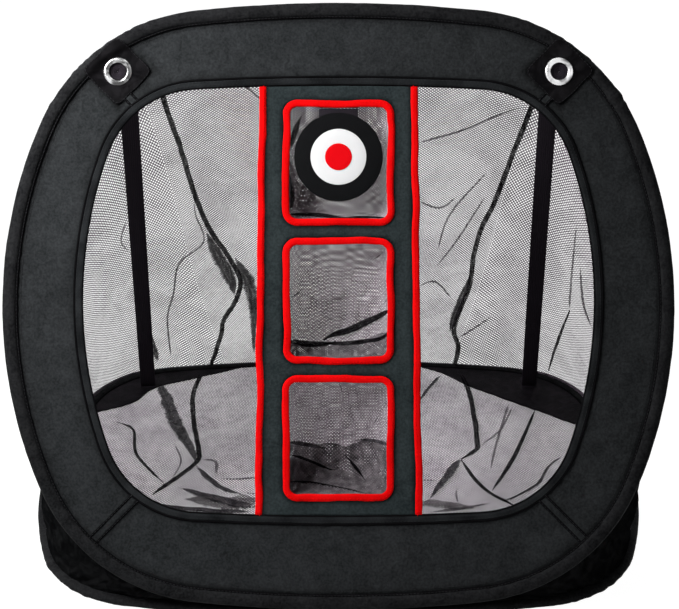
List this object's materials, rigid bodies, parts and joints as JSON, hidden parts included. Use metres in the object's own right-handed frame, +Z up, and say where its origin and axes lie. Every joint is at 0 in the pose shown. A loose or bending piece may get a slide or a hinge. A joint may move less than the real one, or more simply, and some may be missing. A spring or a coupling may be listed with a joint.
{
  "type": "golf chipping net",
  "caption": "Pop-up golf chipping net: a leaning fabric face with a target band, windows with net pouches and a hanging bullseye, over a ground hoop.",
  "frame": {"origin": "on the ground, under the middle of the net's bounding box", "axes": "+Z up, +X to the right seen from the front, the open face looks towards -Y and leans back towards +Y"},
  "size_m": [0.656, 0.5207, 0.5365],
  "materials": {
    "charcoal_cloth": "plain-woven polyester, matt",
    "satin_cloth": "lining cloth and tape with a slight sheen",
    "webbing": "flat woven webbing, matt",
    "red_binding": "folded woven binding tape",
    "netting": "fine open polyester mesh",
    "black_felt": "felt over a stiff core",
    "white_felt": "printed ring",
    "red_felt": "printed centre",
    "spring_steel": "drawn wire",
    "chrome": "bright plated"
  },
  "bodies": {
    "base": {"base_hoop": "spring_steel", "base_ferrule": "spring_steel", "base_hem": "charcoal_cloth", "floor_net": "netting", "rear_patch_left": "satin_cloth", "rear_patch_right": "satin_cloth", "foot_tab_left": "webbing", "foot_tab_right": "webbing", "foot_eyelet_left": "chrome", "foot_eyelet_right": "chrome", "strap_left": "webbing", "strap_right": "webbing", "hinge_tape": "satin_cloth", "corner_gusset_left": "satin_cloth", "corner_gusset_right": "satin_cloth", "side_net_left": "netting", "side_net_right": "netting", "rear_net": "netting", "net_seam_left": "satin_cloth", "net_seam_right": "satin_cloth"},
    "front_frame": {"front_hoop": "spring_steel", "front_ferrule": "spring_steel", "front_hem": "charcoal_cloth", "border_top": "charcoal_cloth", "border_bottom": "charcoal_cloth", "border_left": "charcoal_cloth", "border_right": "charcoal_cloth", "mitre_seams": "satin_cloth", "opening_binding": "satin_cloth", "target_band": "charcoal_cloth", "band_binding_left": "red_binding", "band_binding_right": "red_binding", "window_binding_top": "red_binding", "window_binding_middle": "red_binding", "window_binding_bottom": "red_binding", "pouch_net_top": "netting", "pouch_net_middle": "netting", "pouch_net_bottom": "netting", "eyelet_patch_left": "satin_cloth", "eyelet_patch_right": "satin_cloth", "eyelet_left": "chrome", "eyelet_right": "chrome", "eyelet_washer_left": "chrome", "eyelet_washer_right": "chrome", "strap_anchor_left": "webbing", "strap_anchor_right": "webbing", "target_tab": "webbing"},
    "target": {"target_flap": "webbing", "target_disc": "black_felt", "target_white": "white_felt", "target_red": "red_felt"}
  },
  "joints": [
    {"name": "front_fold", "type": "hinge", "parent": "base", "child": "front_frame", "pos_m": [0, -0.25285, 0.00925], "axis": [-1, 0, 0], "range_deg": [0, 63], "stiffness_Nm_per_rad": 0.8, "springref_deg": -60.16, "deforming": ["strap_left", "strap_right", "hinge_tape", "corner_gusset_left", "corner_gusset_right", "side_net_left", "side_net_right", "rear_net", "net_seam_left", "net_seam_right", "pouch_net_top", "pouch_net_middle", "pouch_net_bottom"]},
    {"name": "target_swing", "type": "hinge", "parent": "front_frame", "child": "target", "pos_m": [0, -0.04126, 0.4437], "axis": [-1, 0, 0], "range_deg": [0, 90]}
  ]
}
